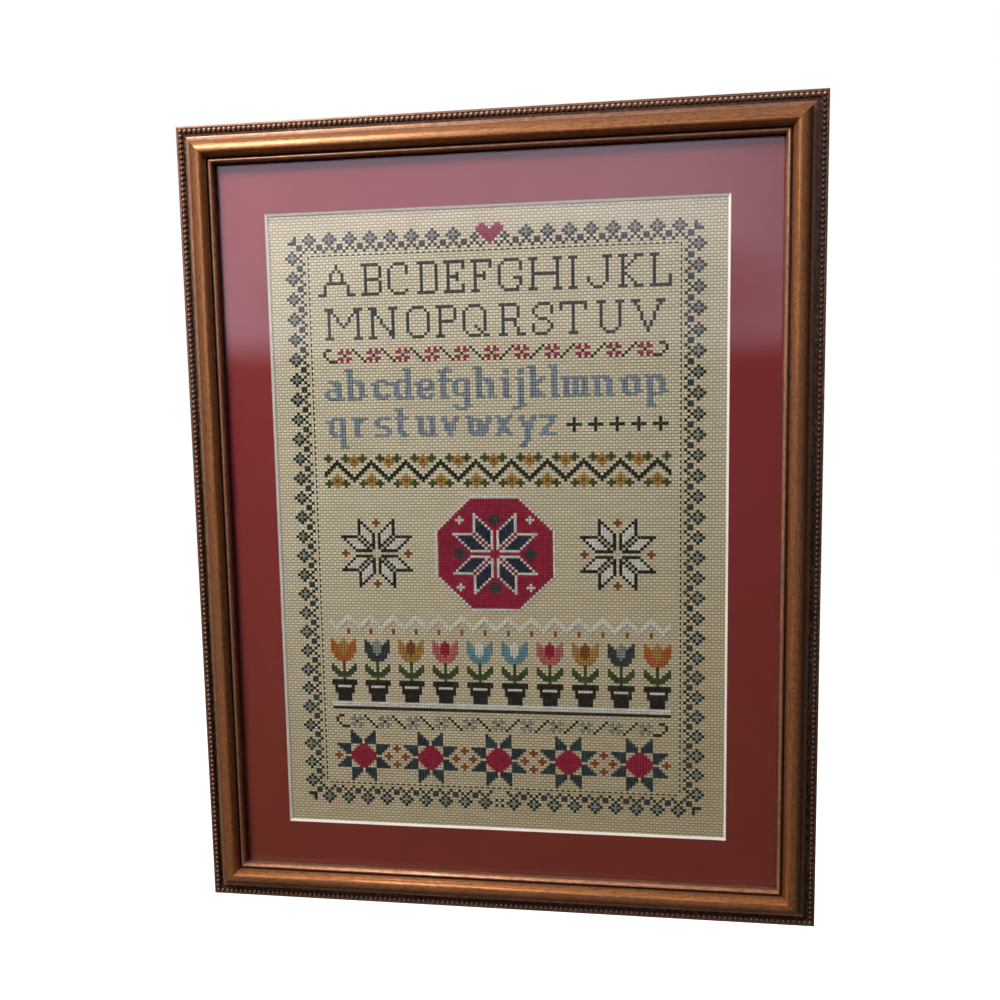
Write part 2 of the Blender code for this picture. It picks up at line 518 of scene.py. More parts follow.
def pearlMaterial(name, pearlLightGain):
    material, nodes, shader = startMaterial(name, {
        "Metallic": copper["metallic"], "Roughness": pearlFinish["roughness"],
    })
    place = nodes.place()
    height = nodes.split(place)["Y"]
    low, high = pearlFinish["heights"][0][0], pearlFinish["heights"][-1][0]
    # Each rail's pearls are scaled by its painted light gain: brightest on top, darkest on the right
    stops = [((up - low) / (high - low), [min(1.0, channel * pearlLightGain) for channel in colour])
             for up, colour in pearlFinish["heights"]]
    tone = nodes.ramp(nodes.between(height, -low * mm, -high * mm), stops)
    worn = mottleMask(nodes, place, evenly, 190.0, 2.0, 0.45, 0.75)
    tone = nodes.mix(nodes.times(worn, 0.45), tone, pearlFinish["worn"])
    dress(nodes, shader, tone, worn, 0.06, 0.05 * mm)
    return material


# For each rail: the solid it stands for, its length, its outer edge's reach and its turn
rails = {
    "top": ("top_rail", frameWidth, frameHeight / 2, 0),
    "right": ("right_rail", frameHeight, frameWidth / 2, 90),
    "bottom": ("bottom_rail", frameWidth, frameHeight / 2, 180),
    "left": ("left_rail", frameHeight, frameWidth / 2, 270),
}
# How much painted shade each rail's outer shoulder takes, how much painted light its body takes, and how
# much its pearls take
railLightAndShade = {
    "top": (0.0, 1.08, 1.15),
    "right": (0.62, 1.0, 0.28),
    "bottom": (0.10, 1.50, 0.55),
    "left": (0.0, 0.97, 0.62),
}


def addRails():
    for side, (replaced, length, reach, turnDeg) in rails.items():
        turn = Matrix.Rotation(math.radians(turnDeg), 4, "Y")
        shoulderShade, bodyLightGain, pearlLightGain = railLightAndShade[side]
        railFinish = copperMaterial("aged_copper_painted_light_" + side, shoulderShade, bodyLightGain)
        pearlCoat = pearlMaterial("pearls_painted_light_" + side, pearlLightGain)
        rail = railMesh("moulding_" + side, length)
        row = pearlMesh("pearls_" + side, length)
        for piece in (finishPiece(rail, replaced, "frame_wood", railFinish),
                      finishPiece(row, None, "frame_wood", pearlCoat)):
            piece.matrix_world = Matrix.Translation(frameMiddle) @ turn @ Matrix.Translation((0, 0, reach))


addRails()
print("moulding and pearls made")


def corners(node):
    return [Vector(corner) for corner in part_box(node)]


# Flat stock with broken edges, for the glass and the backing board
def slabMesh(name, low, high, edge):
    shape = bmesh.new()
    bmesh.ops.create_cube(shape, size=1.0)
    bmesh.ops.scale(shape, vec=high - low, verts=shape.verts)
    bmesh.ops.translate(shape, vec=(high + low) / 2, verts=shape.verts)
    bmesh.ops.bevel(
        shape, geom=shape.edges[:], offset=edge * mm, segments=2, affect="EDGES", clamp_overlap=True
    )
    return meshFrom(shape, name, 30)


glazing = {"edge": 0.25, "tint": (0.97, 0.985, 0.975), "ior": 1.5}


def glassMaterial():
    material, nodes, shader = startMaterial("picture_glass", {
        "Base Color": glazing["tint"], "Roughness": 0.0, "Transmission Weight": 1.0, "IOR": glazing["ior"],
    })
    clear = nodes.add("ShaderNodeBsdfTransparent", {"Color": glazing["tint"]})
    shadowRay = nodes.add("ShaderNodeLightPath").outputs["Is Shadow Ray"]
    blend = nodes.add("ShaderNodeMixShader", {0: shadowRay, 1: shader.outputs[0], 2: clear.outputs[0]})
    nodes.feed(material.node_tree.nodes["Material Output"].inputs["Surface"], blend.outputs[0])
    return material


backing = {
    "edge": 0.3,
    "tone": (0.30, 0.215, 0.14),
    "fleck": (0.13, 0.085, 0.05),
    "pale": (0.44, 0.34, 0.24),
    "fibres": ((1.0, 1.0, 0.22), 1500.0, 3.0, 0.52, 0.7),
}


def boardMaterial():
    dull = {"Roughness": 0.9, "Specular IOR Level": 0.2}
    material, nodes, shader = startMaterial("brown_fibre_board", dull)
    place = nodes.place()
    cloud = mottleMask(nodes, place, evenly, 12.0)
    fibres = mottleMask(nodes, place, *backing["fibres"])
    specks = mottleMask(nodes, place, evenly, 700.0, 2.0, 0.62, 0.7)
    tone = nodes.mix(nodes.times(cloud, 0.5), backing["tone"], backing["pale"])
    tone = nodes.mix(nodes.times(fibres, 0.5), tone, backing["fleck"])
    tone = nodes.mix(nodes.times(specks, 0.7), tone, backing["fleck"])
    dress(nodes, shader, tone, fibres, 0.3, 0.15 * mm)
    return material


pane = slabMesh("picture_glazing", *corners("glass_pane"), glazing["edge"])
finishPiece(pane, "glass_pane", "glass", glassMaterial())
board = slabMesh("fibre_backing", *corners("backing_board"), backing["edge"])
finishPiece(board, "backing_board", "board", boardMaterial())
print("glass and backing board made")


# The mat: burgundy paper over a white core that shows at the cut
mat = {
    "windowWidth": 278.0,
    "windowHeight": 387.0,
    "windowDrop": 1.4,
    "paper": 0.12,
    "softEdge": 0.2,
    "tone": (0.270, 0.030, 0.036),
    "lowShadeTone": (0.250, 0.042, 0.025),
    "fadeHeights": (40.0, -150.0),
    "cloudTone": (0.30, 0.045, 0.06),
    "clouds": ((1.0, 1.0, 1.0), 16.0, 4.0, 0.35, 0.7),
    "fibres": ((1.0, 1.0, 0.5), 1900.0, 4.0, 0.38, 0.66),
    "fibreTone": (0.02, 0.004, 0.004),
    "fibreDepth": 0.20,
    "core": (1.0, 0.99, 0.96),
    "coreFibres": ((1.0, 3.0, 1.0), 900.0, 3.0, 0.4, 0.7),
    "coreShade": (0.80, 0.78, 0.73),
}


def matMesh():
    low, high = corners("mat_board")
    thick = high.y - low.y
    paper, soft = mat["paper"] * mm, mat["softEdge"] * mm
    half = Vector((mat["windowWidth"], 0, mat["windowHeight"])) * mm / 2
    middle = frameMiddle - Vector((0, 0, mat["windowDrop"] * mm))
    shape = bmesh.new()

    def loop(lowCorner, highCorner, grow, depth):
        left, right = lowCorner.x - grow, highCorner.x + grow
        bottom, top = lowCorner.z - grow, highCorner.z + grow
        ring = ((left, bottom), (right, bottom), (right, top), (left, top))
        return [shape.verts.new((x, depth, z)) for x, z in ring]

    loops = [
        loop(middle - half, middle + half, 0.0, high.y),
        loop(middle - half, middle + half, thick - paper, low.y + paper),
        loop(middle - half, middle + half, thick, low.y),
        loop(low, high, -soft, low.y),
        loop(low, high, 0.0, low.y + soft),
        loop(low, high, 0.0, high.y),
    ]
    # From the window's back edge: bevel, cut edge of the paper, face, edge, sides, back
    slots = (1, 0, 0, 0, 1, 1)
    for index, slot in enumerate(slots):
        first = loops[index]
        second = loops[(index + 1) % len(loops)]
        for corner in range(4):
            after = (corner + 1) % 4
            face = shape.faces.new((first[corner], first[after], second[after], second[corner]))
            face.material_index = slot
    return meshFrom(shape, "window_mat")


def matMaterials():
    dull = {"Roughness": 0.86, "Specular IOR Level": 0.25}
    face, nodes, shader = startMaterial("burgundy_mat_paper", dull)
    place = nodes.place()
    cloud = mottleMask(nodes, place, *mat["clouds"])
    fibre = mottleMask(nodes, place, *mat["fibres"])
    # The paper is browner towards its lower edge, a painted shade
    highZ, lowZ = [frameMiddle.z + up * mm for up in mat["fadeHeights"]]
    tone = nodes.mix(nodes.between(nodes.split(place)["Z"], highZ, lowZ), mat["tone"], mat["lowShadeTone"])
    tone = nodes.mix(nodes.times(fibre, mat["fibreDepth"]), tone, mat["fibreTone"])
    tone = nodes.mix(nodes.times(cloud, 0.14), tone, mat["cloudTone"])
    dress(nodes, shader, tone, fibre, 0.22, 0.12 * mm)
    core, nodes, shader = startMaterial("white_mat_core", {"Roughness": 0.8, "Specular IOR Level": 0.3})
    fibre = mottleMask(nodes, nodes.place(), *mat["coreFibres"])
    tone = nodes.mix(nodes.times(fibre, 0.2), mat["core"], mat["coreShade"])
    dress(nodes, shader, tone, fibre, 0.2, 0.1 * mm)
    return face, core


finishPiece(matMesh(), "mat_board", "mat_paper", *matMaterials())
print("mat made")


# The chart: a cell is one cross stitch, columns run right and rows down
chart = {
    "cellWidth": 1.842,
    "cellHeight": 1.7694,
    "firstColumnCentre": 25.77,
    "firstRowCentre": 11.78,
    "middleColumn": 61,
    "lastRow": 205,
}
windowLeft = frameMiddle.x / mm - mat["windowWidth"] / 2
windowTop = frameMiddle.z / mm - mat["windowDrop"] + mat["windowHeight"] / 2


def cellPlace(column, row):
    x = windowLeft + chart["firstColumnCentre"] + chart["cellWidth"] * column
    z = windowTop - chart["firstRowCentre"] - chart["cellHeight"] * row
    return x, z


# The reach of a hole and of the gaps between threads, in shares of a cell
weaving = {"holeReach": (0.27, 0.25), "holeEdge": (1.15, 0.5), "sideEdge": (0.20, 0.04)}


def buildWeave():
    # Where a point lies in its cell of the cloth, counted from the cell's four sides and holes
    labels = ("AcrossX", "AcrossZ", "Hole", "SideX", "SideZ", "WeftOver")
    inputs = {"Place": ("Vector", None)}
    tree, nodes, given, result = startGroup("weave", inputs, dict.fromkeys(labels, "Float"))
    local = nodes.split(given["Place"])
    startX, startZ = cellPlace(-0.5, -0.5)
    column = nodes.over(nodes.minus(local["X"], startX * mm), chart["cellWidth"] * mm)
    row = nodes.over(nodes.minus(startZ * mm, local["Z"]), chart["cellHeight"] * mm)
    square = 0.0
    found = {}
    for axis, count, reach in zip("XZ", (column, row), weaving["holeReach"]):
        across = nodes.math("PINGPONG", count, 0.5)
        near = nodes.over(across, reach)
        square = nodes.plus(nodes.times(near, near), square)
        found["Across" + axis] = across
        found["Side" + axis] = nodes.between(across, *weaving["sideEdge"])
    found["Hole"] = nodes.between(nodes.math("SQRT", square), *weaving["holeEdge"])
    turns = nodes.plus(nodes.math("FLOOR", column), nodes.math("FLOOR", row))
    found["WeftOver"] = nodes.math("FLOORED_MODULO", turns, 2.0)
    for label, value in found.items():
        nodes.feed(result.inputs[label], value)
    return tree


weave = buildWeave()


def weaveMasks(nodes, place):
    return nodes.add("ShaderNodeGroup", {"Place": place}, node_tree=weave).outputs


def darkest(nodes, masks, shares):
    # The strongest of several masks, each with its share
    found = 0.0
    for mask, share in shares.items():
        found = nodes.math("MAXIMUM", nodes.times(masks[mask], share), found)
    return found


# The linen: every cell is a small pillow between its four holes
cloth = {
    "firstColumn": -15,
    "lastColumn": 138,
    "firstRow": -8,
    "lastRow": 213,
    "holeDepth": 0.34,
    "unevenness": 0.07,
    "weftLit": (0.83, 0.76, 0.59),
    "warpShaded": (0.64, 0.575, 0.425),
    "shade": (0.42, 0.345, 0.215),
    "pale": (0.80, 0.74, 0.60),
    "hole": (0.06, 0.045, 0.028),
    "shadeShares": {"Hole": 0.8, "SideX": 0.10, "SideZ": 0.50},
    "slubs": ((1.0, 1.0, 9.0), 70.0, 3.0, 0.36, 0.7),
    "slubsUp": ((9.0, 1.0, 1.0), 70.0, 3.0, 0.4, 0.72),
    "finesDepth": 0.25,
    "dip": 0.55,
    "lowShadeTint": (0.90, 0.85, 0.73),
    "tintRows": (215, 80),
    "tintSlant": 0.35,
}


def clothMesh():
    low, high = corners("embroidered_cloth")
    dice = random.Random(7)
    spread = cloth["unevenness"] * mm
    holeLevel = low.y + cloth["holeDepth"] * mm
    columns = range(cloth["firstColumn"], cloth["lastColumn"] + 2)
    rows = range(cloth["firstRow"], cloth["lastRow"] + 2)
    shape = bmesh.new()
    holes = {}
    for row in rows:
        for column in columns:
            x, z = cellPlace(column - 0.5, row - 0.5)
            rim = column in (columns[0], columns[-1]) or row in (rows[0], rows[-1])
            shiftX = 0.0 if rim else dice.uniform(-spread, spread)
            shiftZ = 0.0 if rim else dice.uniform(-spread, spread)
            holes[column, row] = shape.verts.new((x * mm + shiftX, holeLevel, z * mm + shiftZ))
    for row in rows[:-1]:
        for column in columns[:-1]:
            x, z = cellPlace(column, row)
            crown = shape.verts.new((x * mm, low.y + dice.uniform(0.0, spread), z * mm))
            ring = [holes[column + step, row + fall] for step, fall in ((0, 0), (1, 0), (1, 1), (0, 1))]
            for index in range(4):
                shape.faces.new((ring[index], ring[(index + 1) % 4], crown))
    # The hidden margin under the mat, and the plain back
    front = [shape.verts.new((x, holeLevel, z)) for x, z in (
        (low.x, high.z), (high.x, high.z), (high.x, low.z), (low.x, low.z))]
    back = [shape.verts.new((vert.co.x, high.y, vert.co.z)) for vert in front]
    sides = [
        [holes[column, rows[0]] for column in columns],
        [holes[columns[-1], row] for row in rows],
        [holes[column, rows[-1]] for column in reversed(columns)],
        [holes[columns[0], row] for row in reversed(rows)],
    ]
    for index, side in enumerate(sides):
        after = (index + 1) % 4
        shape.faces.new([front[index], front[after]] + side[::-1])
        shape.faces.new((front[index], back[index], back[after], front[after]))
    shape.faces.new(back)
    return meshFrom(shape, "linen_cloth", 70)


def clothMaterial():
    material, nodes, shader = startMaterial("beige_linen", {"Roughness": 0.92, "Specular IOR Level": 0.12})
    place = nodes.place()
    masks = weaveMasks(nodes, place)
    # A bundle of threads in each cell, across and upright in turn, so that it crowns in the middle
    rounds = {}
    fines = {}
    for axis in "XZ":
        across = masks["Across" + axis]
        rounds[axis] = nodes.math("SINE", nodes.times(across, math.pi))
        fines[axis] = nodes.math("ABSOLUTE", nodes.math("SINE", nodes.times(across, 3 * math.pi)))
    crowns = []
    for over, under in ("ZX", "XZ"):
        crown = nodes.times(rounds[over], nodes.between(rounds[under], 0.0, 1.0, cloth["dip"], 1.0))
        crowns.append(nodes.plus(crown, nodes.times(fines[over], cloth["finesDepth"])))
    weftOver = masks["WeftOver"]
    relief = nodes.plus(nodes.times(crowns[0], weftOver), nodes.times(crowns[1], nodes.minus(1.0, weftOver)))
    slubs, slubsUp = [mottleMask(nodes, place, *cloth[mask]) for mask in ("slubs", "slubsUp")]
    # The weft floats are painted lighter and the warp floats darker, a painted highlight from light falling
    # from above
    tone = nodes.mix(weftOver, cloth["warpShaded"], cloth["weftLit"])
    tone = nodes.mix(nodes.times(slubs, 0.30), tone, cloth["shade"])
    tone = nodes.mix(nodes.times(slubsUp, 0.16), tone, cloth["pale"])
    # Painted shade darkens the holes and the gaps between the threads
    tone = nodes.mix(darkest(nodes, masks, cloth["shadeShares"]), tone, cloth["hole"])
    # The linen is painted darker and yellower towards its lower right corner, a painted shade
    local = nodes.split(place)
    height = nodes.minus(local["Z"], nodes.times(local["X"], cloth["tintSlant"]))
    lowZ, highZ = [cellPlace(0, row)[1] * mm for row in cloth["tintRows"]]
    tint = nodes.mix(nodes.between(height, lowZ, highZ), cloth["lowShadeTint"], (1.0, 1.0, 1.0))
    relief = nodes.minus(relief, nodes.times(masks["Hole"], 0.6))
    dress(nodes, shader, nodes.mix(1.0, tone, tint, "MULTIPLY"), relief, 0.7, 0.3 * mm)
    return material


linen = finishPiece(clothMesh(), "embroidered_cloth", "linen", clothMaterial())
print("linen woven")


# What is stitched: a dictionary of cells with the thread for each
cells = {}
middle = chart["middleColumn"]
lastRow = chart["lastRow"]


def put(column, row, thread):
    cells[column, row] = thread


def putBoth(column, row, thread):
    # The same stitch on both sides of the middle
    put(column, row, thread)
    put(2 * middle - column, row, thread)


quarters = [(first, second) for first in (-1, 1) for second in (-1, 1)]
plus = ((0, 0), (1, 0), (-1, 0), (0, 1), (0, -1))


def diamond(column, row, reach, thread, lay=putBoth):
    for step in range(-reach, reach + 1):
        for rise in range(-reach, reach + 1):
            if abs(step) + abs(rise) <= reach:
                lay(column + step, row + rise, thread)


# Where a point of the border lies, from its place along a side and its depth into the cloth
sideSpots = {
    "top": lambda along, depth: (along, depth),
    "bottom": lambda along, depth: (along, lastRow - depth),
    "left": lambda along, depth: (depth - 8, along),
    "right": lambda along, depth: (2 * middle + 8 - depth, along),
}


def borderFlower(spot, along):
    # A small ring of leaves round a pale cross, on two legs that run in
    for sideways, upright in quarters:
        for step, rise in ((0, 2), (1, 1), (2, 0)):
            put(*spot(along + sideways * step, 2 + upright * rise), "darkGreen")
    for step, rise in plus:
        put(*spot(along + step, 2 + rise), "paleBlue")
    for sideways in (-1, 1):
        put(*spot(along + sideways, 5), "darkGreen")
        put(*spot(along + 2 * sideways, 6), "darkGreen")


def borderBlock(spot, along):
    for step in (0, 1):
        for depth in (4, 5):
            put(*spot(along + step, depth), "slateBlue")


def chartBorder():
    repeat = 7
    for side, flowers in (("top", 8), ("bottom", 9)):
        spot = sideSpots[side]
        for along in range(0, flowers * repeat, repeat):
            borderFlower(spot, along)
            borderFlower(spot, 2 * middle - along)
        for along in range(0, 9 * repeat, repeat):
            borderBlock(spot, along - 4)
            borderBlock(spot, 2 * middle + 3 - along)
    for side in ("left", "right"):
        spot = sideSpots[side]
        for along in range(0, 28 * repeat, repeat):
            borderFlower(spot, 8 + along)
        for along in range(0, 29 * repeat, repeat):
            borderBlock(spot, 4 + along)
    for spot in (sideSpots["top"], sideSpots["bottom"]):
        for column in (-6, 2 * middle + 6):
            inward = 1 if column < 0 else -1
            put(*spot(column, 2), "paleBlue")
            for step, depth in ((1, 1), (1, 2), (1, 3), (0, 3), (-1, 3)):
                put(*spot(column + inward * step, depth), "darkGreen")
    for step in (-1, 1):
        for depth in (1, 3):
            put(middle + step, lastRow - depth, "darkGreen")
    put(middle, lastRow - 2, "paleBlue")


def chartHeart():
    for row, (nearest, farthest) in enumerate(((2, 3), (1, 4), (0, 4), (0, 3), (0, 2), (0, 1), (0, 0)), -1):
        for step in range(nearest, farthest + 1):
            putBoth(middle + step, row, "crimson")
    beside = middle - 5
    putBoth(beside, 3, "paleBlue")
    for step, row in ((0, 2), (-1, 3), (1, 3), (0, 4), (-1, 5), (1, 5), (-2, 6), (2, 6), (3, 5)):
        putBoth(beside + step, row, "darkGreen")


def flowerBand(topRow, petal):
    centre = topRow + 2
    for index in range(11):
        column = 11 + 10 * index
        put(column, centre, "darkBrown")
        for sideways, upright in quarters:
            for step, rise in ((1, 2), (2, 1), (1, 1)):
                put(column + sideways * step, centre + upright * rise, petal)
    for index in range(5):
        for step in range(5):
            putBoth(14 + 10 * index + step, topRow + step, "darkBrown")
    hook = ((5, 0), (6, 0), (4, 1), (4, 2), (5, 3), (6, 4), (7, 4), (8, 4))
    for column, row in hook:
        putBoth(column, topRow + row, "darkBrown")


def chartStars():
    centre = 187
    for column in (13, 37, 61, 85, 109):
        for step in range(-5, 6):
            for rise in range(-5, 6):
                if abs(step) + abs(rise) <= 5 and max(abs(step), abs(rise)) <= 4:
                    put(column + step, centre + rise, "crimson")
        for out, inner in ((9, 4), (8, 3), (7, 2), (6, 1), (5, 1)):
            for along in range(inner, 5):
                for first, second in quarters:
                    put(column + first * along, centre + second * out, "teal")
                    put(column + first * out, centre + second * along, "teal")
    pluses = [(4, 0)]
    for cluster in (25, 49):
        pluses += [(cluster - 3, 0), (cluster + 3, 0), (cluster, -3), (cluster, 3)]
    for column, rise in pluses:
        diamond(column, centre + rise, 1, "rust")


# Letters as pen strokes: each point is a column and a row, both in hexadecimal.
# A single point is a foot of three stitches.
capitals = {
    "A": "60-1a 60-ba 36-96 1a ba", "B": "00-50-61-64-55-15 55-66-69-5a-0a 10-1a",
    "C": "63-61-50-20-02-08-2a-5a-69", "D": "00-50-62-68-5a-0a 10-1a",
    "E": "00-60-62 0a-6a-68 10-1a 15-45 44-46", "F": "00-60-62 10-1a 15-45 44-46 1a",
    "G": "73-71-60-20-02-08-2a-6a-78-76-56", "H": "10-1a 90-9a 15-95 10 1a 90 9a",
    "I": "10-1a 10 1a", "J": "60-68-4a-2a-08-07 60", "K": "10-1a 60-15-6a 10 1a 60 6a",
    "L": "10-1a 0a-6a-67 10", "M": "10-1a 10-66-b0 b0-ba 10 b0 1a ba",
    "N": "10-1a 10-8a 80-8a 1a 80 10", "O": "20-50-72-78-5a-2a-08-02-20",
    "P": "00-50-61-64-55-15 10-1a 1a", "Q": "20-50-72-78-5a-2a-08-02-20 47-7a-8a",
    "R": "00-50-61-64-55-15 10-1a 45-7a 1a 7a", "S": "63-61-50-20-02-03-25-45-67-68-4a-1a-09-07",
    "T": "00-80-82 00-02 40-4a 4a", "U": "10-18-3a-5a-78-70 10 70", "V": "10-5a-90 10 90",
}
smallLetters = {
    "a": "14-34-45-4a 47-17-08-09-1a-3a", "b": "00-0a 04-34-45-49-3a-0a", "c": "45-34-14-05-09-1a-3a-49",
    "d": "40-4a 44-14-05-09-1a-4a", "e": "07-47-45-34-14-05-09-1a-3a-49", "f": "31-20-11-1a 04-34",
    "g": "44-14-05-08-19-49 44-4d-3e-1e-0d", "h": "00-0a 05-14-34-45-4a", "i": "04-0a 01-02",
    "j": "24-2d-1e-0e 21-22", "k": "00-0a 34-07-3a", "l": "00-0a", "m": "04-0a 05-24-34-3a 35-54-64-6a",
    "n": "04-0a 05-14-34-45-4a", "o": "14-34-45-49-3a-1a-09-05-14", "p": "04-0e 04-34-45-49-3a-0a",
    "q": "44-4e 44-14-05-09-1a-4a", "r": "04-0a 06-15-24-34", "s": "44-14-05-06-17-37-48-49-3a-0a",
    "t": "11-19-2a-3a 04-34", "u": "04-09-1a-3a 44-4a", "v": "04-2a-44",
    "w": "04-09-1a-2a-3a-4a-59-64 35-39", "x": "04-4a 44-0a", "y": "04-29 44-1e-0e", "z": "04-44-0a-4a",
}


def penLine(start, end):
    steps = max(abs(end[0] - start[0]), abs(end[1] - start[1]))
    for step in range(steps + 1):
        share = step / max(steps, 1)
        yield (round(start[0] + (end[0] - start[0]) * share), round(start[1] + (end[1] - start[1]) * share))


def letterCells(strokes, nib):
    marks = set()
    for stroke in strokes.split():
        points = [(int(point[0], 16), int(point[1], 16)) for point in stroke.split("-")]
        if len(points) == 1:
            marks.update((points[0][0] + step, points[0][1]) for step in (-1, 0, 1))
        for start, end in zip(points, points[1:]):
            for column, row in penLine(start, end):
                marks.update((column + step, row) for step in range(nib))
            upright = start[0] == end[0] and abs(start[1] - end[1]) > 3
            if nib > 1 and upright:
                # A broad pen's stem starts and ends with a small foot
                marks.add((start[0] - 1, min(start[1], end[1])))
                marks.add((start[0] + nib, max(start[1], end[1])))
    return marks


def writeRow(letters, alphabet, topRow, firstColumn, lastColumn, thread, nib=1):
    # Spreads the letters evenly over the row
    drawn = [letterCells(alphabet[letter], nib) for letter in letters]
    widths = [max(column for column, _ in marks) - min(column for column, _ in marks) + 1 for marks in drawn]
    spare = lastColumn - firstColumn + 1 - sum(widths)
    place = float(firstColumn)
    for marks, width in zip(drawn, widths):
        shift = round(place) - min(column for column, _ in marks)
        for column, row in marks:
            put(column + shift, topRow + row, thread)
        place += width + spare / (len(letters) - 1)


def chartLetters():
    writeRow("ABCDEFGHIJKL", capitals, 11, 3, 119, "darkGreen")
    writeRow("MNOPQRSTUV", capitals, 26, 5, 117, "darkGreen")
    writeRow("abcdefghijklmnop", smallLetters, 47, 4, 118, "mistBlue", nib=2)
    writeRow("qrstuvwxyz", smallLetters, 60, 4, 82, "mistBlue", nib=2)
    for index in range(5):
        column = 88 + index * 7
        for step in range(-2, 3):
            put(column + step, 67, "darkGreen")
            put(column, 67 + step, "darkGreen")
        put(column, 67, "slateBlue")


# The large panel: a flowering vine, an octagon between two stars, a zigzag and a row of potted tulips
panel = {
    "vineRow": 82,
    "vineWave": 12,
    "octagonRow": 112,
    "octagonReach": 20,
    "octagonCut": 1.42,
    "starColumn": 20,
    "zigzagRow": 138,
    "tulipRow": 144,
    "shelfRow": 168,
}
tulip = [
    "a...b...a",
    "aa.bbb.aa",
    "aaabbbaaa",
    "aaabbbaaa",
    "aaabbbaaa",
    ".aaabaaa.",
    ".aaaaaaa.",
    "..aaaaa..",
    "....l....",
    "l...l...l",
    "ll..l..ll",
    "lll.l.lll",
    ".lllllll.",
    "..lllll..",
    "....l....",
    "kkkkkkkkk",
    "kkkkkkkkk",
    ".kccccck.",
    ".kkkkkkk.",
    ".kkkkkkk.",
    "..kkkkk..",
    "..kkkkk..",
    "..kkkkk..",
]
tulipPairs = [
    ("skyBlue", "white"), ("pink", "crimson"), ("ochre", "rust"), ("slateBlue", "paleBlue"),
    ("orange", "ochre"),
]


def chartVine():
    wave = panel["vineWave"]
    for column in range(middle, 2 * middle - 2):
        phase = (column - middle) % wave
        rise = abs(phase - wave // 2) - wave // 4
        putBoth(column, panel["vineRow"] + rise, "darkGreen")
        putBoth(column, panel["vineRow"] + rise + 1, "darkGreen")
    for column in range(middle, 2 * middle - 3):
        phase = (column - middle) % wave
        if phase in (0, wave // 2):
            row = panel["vineRow"] + (-3 if phase == 0 else 4)
            diamond(column, row, 2, "ochre")
            putBoth(column, row, "rust")
        if phase in (wave // 4, 3 * wave // 4):
            diamond(column, panel["vineRow"] - 4, 1, "leafGreen")
            diamond(column, panel["vineRow"] + 5, 1, "leafGreen")


def chartStar(centre, row, size, edge, filling, lay):
    # The eight-petalled star of old knitting and samplers
    for x in range(-2 * size, 2 * size + 1):
        for z in range(-2 * size, 2 * size + 1):
            wide, narrow = max(abs(x), abs(z)), min(abs(x), abs(z))
            along = wide - narrow
            if 1 <= narrow <= size and 1 <= along <= size:
                onEdge = narrow in (1, size) or along in (1, size)
                lay(centre + x, row + z, edge if onEdge else filling)


def chartOctagon():
    reach, row = panel["octagonReach"], panel["octagonRow"]
    for x in range(-reach, reach + 1):
        for z in range(-reach, reach + 1):
            wide, total = max(abs(x), abs(z)), abs(x) + abs(z)
            if total <= reach * panel["octagonCut"]:
                rim = wide == reach or total > reach * panel["octagonCut"] - 1
                put(middle + x, row + z, "white" if rim else "crimson")
    chartStar(middle, row, 7, "white", "navy", put)
    diamond(middle + 12, row, 2, "slateBlue")
    for rise in (-12, 12):
        diamond(middle, row + rise, 2, "slateBlue")
        diamond(middle + 12, row + rise, 1, "white")


def chartSideStars():
    column, row = panel["starColumn"], panel["octagonRow"]
    chartStar(column, row, 6, "charcoal", "white", putBoth)
    for step in (-11, 11):
        diamond(column + step, row, 1, "rust")
        diamond(column, row + step, 1, "rust")


def chartZigzag():
    for column in range(middle, 2 * middle - 2):
        rise = abs((column - middle) % 8 - 4)
        for step in (-1, 0):
            putBoth(column, panel["zigzagRow"] - 2 + rise + step, "white")
        if (column - middle) % 8 == 4:
            putBoth(column, panel["zigzagRow"] + 2, "rust")
            putBoth(column, panel["zigzagRow"] + 3, "rust")


def chartTulips():
    for index, (bloom, heart) in enumerate(tulipPairs):
        colours = {"a": bloom, "b": heart, "l": "leafGreen", "k": "charcoal", "c": "white"}
        left = middle + 2 + 12 * index
        for row, line in enumerate(tulip):
            for step, mark in enumerate(line):
                if mark != ".":
                    putBoth(left + step, panel["tulipRow"] + row, colours[mark])
    for row, thread in enumerate(("white", "white", "darkBrown"), panel["shelfRow"] - 1):
        for column in range(middle, 2 * middle - 2):
            putBoth(column, row, thread)


chartBorder()
chartHeart()
flowerBand(40, "crimson")
flowerBand(172, "lilacGrey")
chartStars()
chartLetters()
chartVine()
chartOctagon()
chartSideStars()
chartZigzag()
chartTulips()
print("chart drawn:", len(cells), "cross stitches")

# The threads, by the cotton's colour
threads = {
    "darkGreen": (0.009, 0.025, 0.010),
    "paleBlue": (0.43, 0.50, 0.47),
    "slateBlue": (0.042, 0.076, 0.086),
    "mistBlue": (0.38, 0.53, 0.62),
    "lilacGrey": (0.46, 0.46, 0.45),
    "crimson": (0.56, 0.006, 0.072),
    "darkBrown": (0.040, 0.018, 0.009),
    "rust": (0.42, 0.11, 0.02),
    "teal": (0.024, 0.082, 0.098),
    "white": (1.0, 0.98, 0.92),
    "charcoal": (0.014, 0.010, 0.010),
    "ochre": (0.66, 0.38, 0.08),
    "leafGreen": (0.060, 0.125, 0.026),
    "pink": (0.80, 0.22, 0.22),
    "navy": (0.014, 0.026, 0.090),
    "orange": (0.75, 0.20, 0.03),
    "skyBlue": (0.22, 0.50, 0.58),
}
